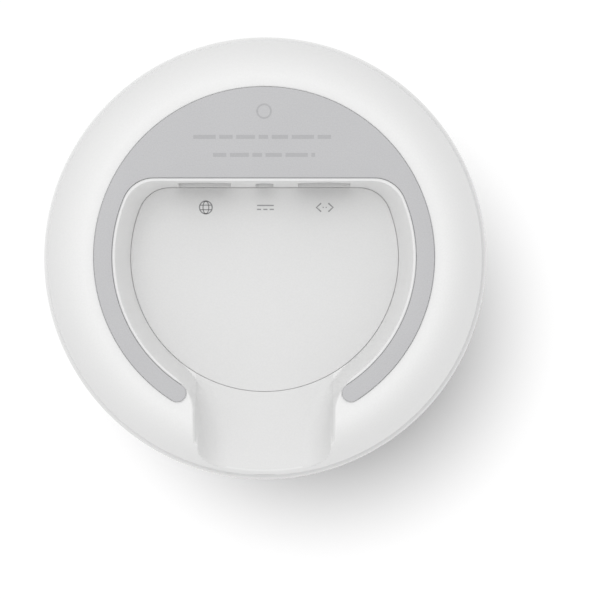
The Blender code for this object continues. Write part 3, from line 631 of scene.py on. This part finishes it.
def windowCutters():
    # each network window has a shallow round scoop under it, for the thumb on the plug's latch
    cutters = []
    back, front = ports["wallBack"], ports["wallFront"]
    for side in (-1, 1):
        middle = side * ports["offset"]
        cutters.append(boxCutter("window", (middle - ports["windowHalf"], back, ports["windowLow"]),
                                 (middle + ports["windowHalf"], front, ports["windowHigh"])))
        deselectAll()
        lift = ports["windowLow"] + ports["scoopLift"]
        bpy.ops.mesh.primitive_cylinder_add(vertices=ports["scoopSides"], radius=1.0, depth=front - back,
                                            location=(middle, (front + back) / 2, lift),
                                            rotation=(math.pi / 2, 0.0, 0.0))
        scoop = takePrimitive("scoop", "bayPlasticPaintedShade")
        scoop.scale = (ports["scoopHalf"], ports["scoopDrop"], 1.0)
        settle(scoop)
        cutters.append(scoop)
    half = ports["inletHalf"]
    slot = boxCutter("inlet_window", (-half, back, ports["inletLow"]), (half, front, ports["inletHigh"]))
    only(slot)
    bpy.ops.object.mode_set(mode="EDIT")
    mesh = bmesh.from_edit_mesh(slot.data)
    for edge in mesh.edges:  # the four that run through the wall
        edge.select_set(abs(edge.verts[0].co.y - edge.verts[1].co.y) > half)
    bmesh.update_edit_mesh(slot.data)
    bpy.ops.mesh.bevel(offset=half * ports["inletRounding"], segments=ports["inletSteps"])
    bpy.ops.object.mode_set(mode="OBJECT")
    cutters.append(slot)
    return cutters


capLow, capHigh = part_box("reset_button_cap")
resetButton = {
    "flange": 0.0005, "flangeThickness": 0.0008, "edge": 0.0003, "edgeSteps": 4, "dish": 0.00022,
    "back": capLow.y, "front": capHigh.y, "height": (capLow.z + capHigh.z) / 2,
    "ballSides": 160, "ballRings": 80,
}
buttonRadius = capHigh.x - resetButton["flange"]


def makeLowerShell():
    lines = columnLines()
    columns = [columnPoints(near, far) for near, far in lines]
    rows = len(columns[0])
    deselectAll()
    bpy.ops.mesh.primitive_grid_add(x_subdivisions=len(columns), y_subdivisions=rows - 1, size=1.0)
    shell = takePrimitive("lower_shell_moulding", "shellPlastic")
    for vertex in shell.data.vertices:
        column = round((vertex.co.x + 0.5) * len(columns)) % len(columns)
        row = round((vertex.co.y + 0.5) * (rows - 1))
        vertex.co = columns[column][row]
    only(shell)
    bpy.ops.object.mode_set(mode="EDIT")
    bpy.ops.mesh.select_all(action="SELECT")
    bpy.ops.mesh.remove_doubles(threshold=shellGrid["merge"])
    bpy.ops.mesh.fill_holes(sides=0)
    bpy.ops.mesh.select_all(action="SELECT")
    bpy.ops.mesh.normals_make_consistent(inside=False)
    bpy.ops.object.mode_set(mode="OBJECT")
    seatLow, seatHigh = lowerShell["seatLow"], lowerShell["seatHeight"]
    seat = slabFromOutline("seat_cutter", footOutline(seatGap), seatLow, seatHigh, "shellPlastic")
    bore = barAlongY("bore_cutter", buttonRadius + gap, seamRadius - lowerShell["boreInside"],
                     seamRadius + lowerShell["boreOutside"], resetButton["height"], "shellPlastic")
    cutWith(shell, seat, bore, *windowCutters())
    shadeByAngle(shell, smoothAngle)
    # the notch's recessed faces get the bay's rougher finish, painted darker as shade, like the bay it opens
    # from
    shell.data.materials.append(finishes["bayPlasticPaintedShade"])
    for face in shell.data.polygons:
        x, y, z = face.center
        across = y > 0.0 and abs(x) < lowerShell["notchHalf"] - notchShadeFaces["edge"]
        between = notchShadeFaces["low"] < z < plateHeight + notchShadeFaces["above"]
        if across and between and shellHeightAt(math.hypot(x, y)) < z - notchShadeFaces["overShell"]:
            face.material_index = 1
    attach(shell, "housing")
    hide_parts("lower_shell")
    return shell


lowerShellPiece = makeLowerShell()
print("lower shell:", len(lowerShellPiece.data.polygons), "faces")


def bayOutline(radius, front, corner):
    # the bay from below: most of a circle, with a straight front
    cornerY = front + corner
    cornerX = math.sqrt((radius - corner) ** 2 - cornerY ** 2)
    meet = math.degrees(math.atan2(cornerY, cornerX))
    points = arcPoints((0.0, 0.0), radius, meet, 180.0 - meet, outlineSteps["bay"])
    points += arcPoints((-cornerX, cornerY), corner, 180.0 - meet, 270.0, outlineSteps["bayCorner"])[1:]
    points += arcPoints((cornerX, cornerY), corner, 270.0, 360.0 + meet, outlineSteps["bayCorner"])[:-1]
    return points


floorPlate = {"edge": 0.00012, "gap": 0.00008}


def makeFloorPlate():
    outline = bayOutline(floorRadius - floorPlate["gap"], floorFront + floorPlate["gap"],
                         lowerShell["corner"] - floorPlate["gap"])
    # the plate is painted darker as shade at the bottom of the recessed bay
    plate = slabFromOutline("floor_plate", outline, plateHeight, plateHeight + plateThickness, "bayPlasticPaintedShade")
    roundEdges(plate, floorPlate["edge"])
    shadeByAngle(plate, flatAngle)
    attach(plate, "housing")
    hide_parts("bay_floor_plate")


makeFloorPlate()
print("floor plate done")


def joinAll(pieces, name):
    deselectAll()
    for piece in pieces:
        piece.select_set(True)
    bpy.context.view_layer.objects.active = pieces[0]
    bpy.ops.object.join()
    joined = bpy.context.object
    joined.name = name
    return joined


def strokeOutline(points, width):
    # both sides of a line of points, for a flat stroke of even width
    left, right = [], []
    for index, (x, y) in enumerate(points):
        before = points[max(index - 1, 0)]
        after = points[min(index + 1, len(points) - 1)]
        alongX, alongY = after[0] - before[0], after[1] - before[1]
        length = math.hypot(alongX, alongY)
        sideX, sideY = -alongY / length * width / 2, alongX / length * width / 2
        left.append((x + sideX, y + sideY))
        right.append((x - sideX, y - sideY))
    return left + list(reversed(right))


def drawStrokes(name, strokes, low, high, finish):
    pieces = []
    for points, width in strokes:
        pieces.append(slabFromOutline(name, strokeOutline(points, width), low, high, finish))
    return joinAll(pieces, name)


def ovalPoints(centre, halfX, halfY, start, end, steps):
    return [(centre[0] + halfX * x, centre[1] + halfY * y)
            for x, y in arcPoints((0.0, 0.0), 1.0, start, end, steps)]


halfRing = {"turn": 181.0, "steps": 30}


def fullRing(centre, halfX, halfY, width):
    # two half rings that overlap a little where they meet
    turn, steps = halfRing["turn"], halfRing["steps"]
    return [(ovalPoints(centre, halfX, halfY, start, start + turn, steps), width) for start in (0.0, 180.0)]


def dashAlongX(middle, half, row, width):
    return ([(middle - half, row), (middle + half, row)], width)


signs = {
    "row": -0.01185, "offset": 0.01372, "rise": 0.00003, "stroke": 0.00028, "thin": 0.8, "thick": 1.2,
    "globeShift": -0.00016, "globeRadius": 0.00150, "meridian": 0.45, "parallel": 0.36,
    "lineShift": 0.0002, "lineHalf": 0.00198, "lineUp": 0.00047, "dash": 0.00098, "dashGap": 0.00053,
    "arrowShift": 0.0005, "arrowHalf": 0.00196, "arrowTall": 0.00100, "arrowDeep": 0.00110,
    "dot": 0.00026, "dotApart": 0.00070,
}


def globeStrokes(middle, row, stroke):
    radius, thin = signs["globeRadius"], stroke * signs["thin"]
    centre = (middle, row)
    strokes = fullRing(centre, radius, radius, stroke)
    strokes += fullRing(centre, radius * signs["meridian"], radius, thin)
    for up in (-signs["parallel"], signs["parallel"]):
        strokes.append(dashAlongX(middle, radius * math.sqrt(1.0 - up * up), row + radius * up, thin))
    return strokes


def directCurrentStrokes(middle, row, stroke):
    strokes = [dashAlongX(middle, signs["lineHalf"], row - signs["lineUp"], stroke)]
    for index in (-1, 0, 1):
        dash = middle + index * (signs["dash"] + signs["dashGap"])
        strokes.append(dashAlongX(dash, signs["dash"] / 2, row + signs["lineUp"], stroke))
    return strokes


def arrowStrokes(middle, row, stroke):
    strokes, tall = [], signs["arrowTall"]
    for side in (-1, 1):
        tip = middle + side * signs["arrowHalf"]
        inward = tip - side * signs["arrowDeep"]
        strokes.append(([(inward, row - tall), (tip, row), (inward, row + tall)], stroke * signs["thick"]))
        dot = middle + side * signs["dotApart"] / 2
        strokes.append(dashAlongX(dot, signs["dot"] / 2, row, signs["dot"]))
    return strokes


def makeSigns():
    # a globe, a direct-current sign and a pair of arrowheads with dots, one before each port
    row, stroke = signs["row"], signs["stroke"]
    strokes = globeStrokes(signs["globeShift"] - signs["offset"], row, stroke)
    strokes += directCurrentStrokes(signs["lineShift"], row, stroke)
    strokes += arrowStrokes(signs["arrowShift"] + signs["offset"], row, stroke)
    low, high = plateHeight - signs["rise"], plateHeight + signs["rise"]
    piece = drawStrokes("port_signs", strokes, low, high, "signInk")
    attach(piece, "housing")


makeSigns()
print("port signs done")


rubberFoot = {
    "edge": 0.00022, "grow": 0.00008, "ringMiddle": -0.0340, "ringRadius": 0.0016, "ringStroke": 0.0004,
    "rows": ((-0.0280, 0.0165, 0), (-0.0238, 0.0119, 1)),  # where each lies, its half width, its first dash
    "dashes": (0.0052, 0.0031, 0.0044, 0.0022, 0.0038), "dashGap": 0.00085, "dashTall": 0.0009,
    "shortestDash": 0.0006, "engraving": 0.00006, "markLow": 0.4, "markHigh": 1.4,
}


def footMarkStrokes():
    # a ring and two rows of plain dashes, where a maker puts a sign and the approvals
    ring = rubberFoot["ringRadius"]
    strokes = fullRing((0.0, rubberFoot["ringMiddle"]), ring, ring, rubberFoot["ringStroke"])
    for row, half, first in rubberFoot["rows"]:
        left, index = -half, first
        while left < half - rubberFoot["shortestDash"]:
            right = min(left + rubberFoot["dashes"][index % len(rubberFoot["dashes"])], half)
            strokes.append(([(left, row), (right, row)], rubberFoot["dashTall"]))
            left, index = right + rubberFoot["dashGap"], index + 1
    return strokes


def makeFoot():
    foot = slabFromOutline("foot_pad", footOutline(rubberFoot["grow"]), 0.0, footThickness, "footRubber")
    roundEdges(foot, rubberFoot["edge"])
    engraving = rubberFoot["engraving"]
    for points, width in footMarkStrokes():
        outline = strokeOutline(points, width)
        cutWith(foot, slabFromOutline("mark_cutter", outline, -engraving, engraving, "footMark"))
    shadeByAngle(foot, flatAngle)
    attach(foot, "housing")
    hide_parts("rubber_foot")
    low, high = engraving * rubberFoot["markLow"], engraving * rubberFoot["markHigh"]
    marks = drawStrokes("foot_marks", footMarkStrokes(), low, high, "footMark")
    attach(marks, "housing")


makeFoot()
print("rubber foot done")


topShell = {
    "fillet": 0.0115, "taper": 0.0006, "dish": 0.0026, "bevel": 0.0005, "wall": 0.0022,
    "steps": 30, "insideSteps": 16, "bevelSteps": 8,
}


def topShellProfile(wall, steps):
    # half of the cap's section, from the axis out to the top of its side
    radius = bodyRadius - topShell["taper"]
    corner = radius - topShell["fillet"]
    points = []
    for step in range(steps):
        share = step / steps
        dip = topShell["dish"] * (0.5 + 0.5 * math.cos(math.pi * share))
        points.append((corner * share, bodyHeight - wall - dip))
    middle = (corner, bodyHeight - topShell["fillet"])
    return points + arcPoints(middle, topShell["fillet"] - wall, 90.0, 0.0, steps)


def makeTopShell():
    bevel, wall = topShell["bevel"], topShell["wall"]
    profile = topShellProfile(0.0, topShell["steps"])
    rim = (bodyRadius - bevel, rimHeight + bevel)
    profile += arcPoints(rim, bevel, 0.0, -90.0, topShell["bevelSteps"])
    profile.append((bodyRadius - wall, rimHeight))
    profile += list(reversed(topShellProfile(wall, topShell["insideSteps"])))
    shell = spinProfile("top_shell_moulding", profile, "shellPlastic")
    shadeByAngle(shell, smoothAngle)
    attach(shell, "housing")
    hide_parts("top_shell")


makeTopShell()
print("top shell done")


ringLow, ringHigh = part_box("light_ring")
lightRing = {
    "outer": ringHigh.x, "low": ringLow.z, "top": ringHigh.z, "wall": 0.0020, "riser": 0.0010,
    "bevel": 0.00022, "bevelSteps": 6,
}


def makeLightRing():
    outer, low, top, bevel = lightRing["outer"], lightRing["low"], lightRing["top"], lightRing["bevel"]
    steps = lightRing["bevelSteps"]
    inner = outer - lightRing["wall"]
    riser = inner + lightRing["riser"]
    high = rimHeight - gap
    profile = [(inner, low)] + arcPoints((outer - bevel, low + bevel), bevel, -90.0, 0.0, steps)
    profile += arcPoints((outer - bevel, high - bevel), bevel, 0.0, 90.0, steps)
    profile += [(riser, high), (riser, top), (inner, top)]
    ring = spinProfile("light_band", profile, "diffuserPlastic")
    shadeByAngle(ring, smoothAngle)
    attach(ring, "housing")
    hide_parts("light_ring")


makeLightRing()
print("light ring done")


def makeResetButton():
    height, radius = resetButton["height"], buttonRadius
    back, front, dish = resetButton["back"], resetButton["front"], resetButton["dish"]
    cap = barAlongY("button_cap", radius, back, front, height, "buttonPlastic")
    roundEdges(cap, resetButton["edge"], resetButton["edgeSteps"])
    # a large ball sinks the dish into the cap's face
    dishRadius = (radius * radius + dish ** 2) / (2 * dish)
    deselectAll()
    sides, rings = resetButton["ballSides"], resetButton["ballRings"]
    bpy.ops.mesh.primitive_uv_sphere_add(segments=sides, ring_count=rings, radius=dishRadius,
                                         location=(0.0, front + dishRadius - dish, height))
    ball = takePrimitive("dish_cutter", "buttonPlastic")
    settle(ball)
    flange = barAlongY("button_flange", radius + resetButton["flange"], back,
                       back + resetButton["flangeThickness"], height, "buttonPlastic")
    cutWith(cap, ball)
    piece = joinAll([cap, flange], "reset_button")
    shadeByAngle(piece, smoothAngle)
    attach(piece, "reset_button")
    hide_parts("reset_button_cap")


makeResetButton()
print("reset button done")


# the camera looks straight up at the underside; the floor and the card are seen but light nothing
cameraStage = {
    "place": (0.00838, 0.01003, -1.2), "lens": 308.8, "sensor": 36.0, "nearMargin": 0.0002, "far": 100.0,
}
surroundings = {
    "worldStrength": 0.87, "aim": (0.0, 0.0, 0.03), "paintRoughness": 0.9, "paintSpecular": 0.1,
    "cardSize": 0.8, "cardPlace": (0.0, 0.0, 2.7), "cardColour": (0.14, 0.14, 0.14), "cardGlow": 0.010,
    "floorSize": 24.0, "floorPlace": (0.0, 0.0, -0.0004), "floorColour": (0.68, 0.68, 0.685),
}
shadowLamp = {"place": (-0.0183, -0.0218, -2.05), "size": 0.103, "power": 1390.0}
studioLamps = {
    "underKey": {"place": (-0.32, -0.38, -1.62), "size": 1.0, "power": 6.2},
    "overKey": {"place": (-0.75, -0.80, 1.3), "size": 0.9, "power": 6.5},
}
white = (1.0, 1.0, 1.0)
facingUp = (math.pi, 0.0, 0.0)  # turns what looks down round to look up


def makeCamera():
    deselectAll()
    bpy.ops.object.camera_add(location=cameraStage["place"], rotation=facingUp)
    camera = bpy.context.object
    camera.name = "camera"
    camera.data.lens = cameraStage["lens"]
    camera.data.sensor_width = cameraStage["sensor"]
    # starts just below the hub, past the floor
    camera.data.clip_start = -cameraStage["place"][2] - cameraStage["nearMargin"]
    camera.data.clip_end = cameraStage["far"]
    bpy.context.scene.camera = camera
    bpy.context.scene.view_settings.view_transform = "Standard"


def areaLamp(name, look, rotation):
    deselectAll()
    bpy.ops.object.light_add(type="AREA", location=look["place"], rotation=rotation)
    lamp = bpy.context.object
    lamp.name = name
    lamp.data.size = look["size"]
    lamp.data.energy = look["power"]
    return lamp


def makeWorld():
    world = bpy.data.worlds.new("studio")
    world.use_nodes = True
    background = world.node_tree.nodes["Background"]
    background.inputs["Color"].default_value = (*white, 1.0)
    background.inputs["Strength"].default_value = surroundings["worldStrength"]
    bpy.context.scene.world = world


def paint(name, colour, glow=0.0):
    material = bpy.data.materials.new(name)
    material.use_nodes = True
    shader = material.node_tree.nodes["Principled BSDF"]
    shader.inputs["Base Color"].default_value = (*colour, 1.0)
    shader.inputs["Roughness"].default_value = surroundings["paintRoughness"]
    shader.inputs["Specular IOR Level"].default_value = surroundings["paintSpecular"]
    shader.inputs["Emission Color"].default_value = (*white, 1.0)
    shader.inputs["Emission Strength"].default_value = glow
    return material


def stagePlane(name, size, place, rotation, material):
    # a plane that only the camera sees
    deselectAll()
    bpy.ops.mesh.primitive_plane_add(size=size, location=place, rotation=rotation)
    plane = bpy.context.object
    plane.name = name
    plane.data.materials.append(material)
    plane.visible_diffuse = False
    plane.visible_glossy = False
    plane.visible_transmission = False
    plane.visible_shadow = False
    return plane


def collectionOf(name, left):
    # a collection of every mesh but the ones left out
    group = bpy.data.collections.new(name)
    for thing in bpy.context.scene.objects:
        if thing.type == "MESH" and thing not in left:
            group.objects.link(thing)
    return group


def makeBackdrop():
    # a pale card far behind the hub, lit by one small lamp that throws the hub's soft shadow on it
    material = paint("cardPaint", surroundings["cardColour"], surroundings["cardGlow"])
    card = stagePlane("backdrop", surroundings["cardSize"], surroundings["cardPlace"], facingUp, material)
    lamp = areaLamp("shadowLamp", shadowLamp, facingUp)
    lamp.data.shape = "DISK"
    receivers = bpy.data.collections.new("shadowReceiver")
    receivers.objects.link(card)
    lamp.light_linking.receiver_collection = receivers
    lamp.light_linking.blocker_collection = collectionOf("shadowBlockers", [card])
    return card


def studioLight(name, left):
    # a lamp aimed at the hub that lights everything but the things left out
    look = studioLamps[name]
    direction = Vector(surroundings["aim"]) - Vector(look["place"])
    lamp = areaLamp(name, look, direction.to_track_quat("-Z", "Y").to_euler())
    lamp.light_linking.receiver_collection = collectionOf(name + "Receivers", left)


makeCamera()
makeWorld()
backdrop = makeBackdrop()
stagePlane("floor", surroundings["floorSize"], surroundings["floorPlace"], (0.0, 0.0, 0.0),
           paint("floorPaint", surroundings["floorColour"]))
studioLight("underKey", [backdrop])
studioLight("overKey", [backdrop, lowerShellPiece])
print("camera, lamps and stage done")
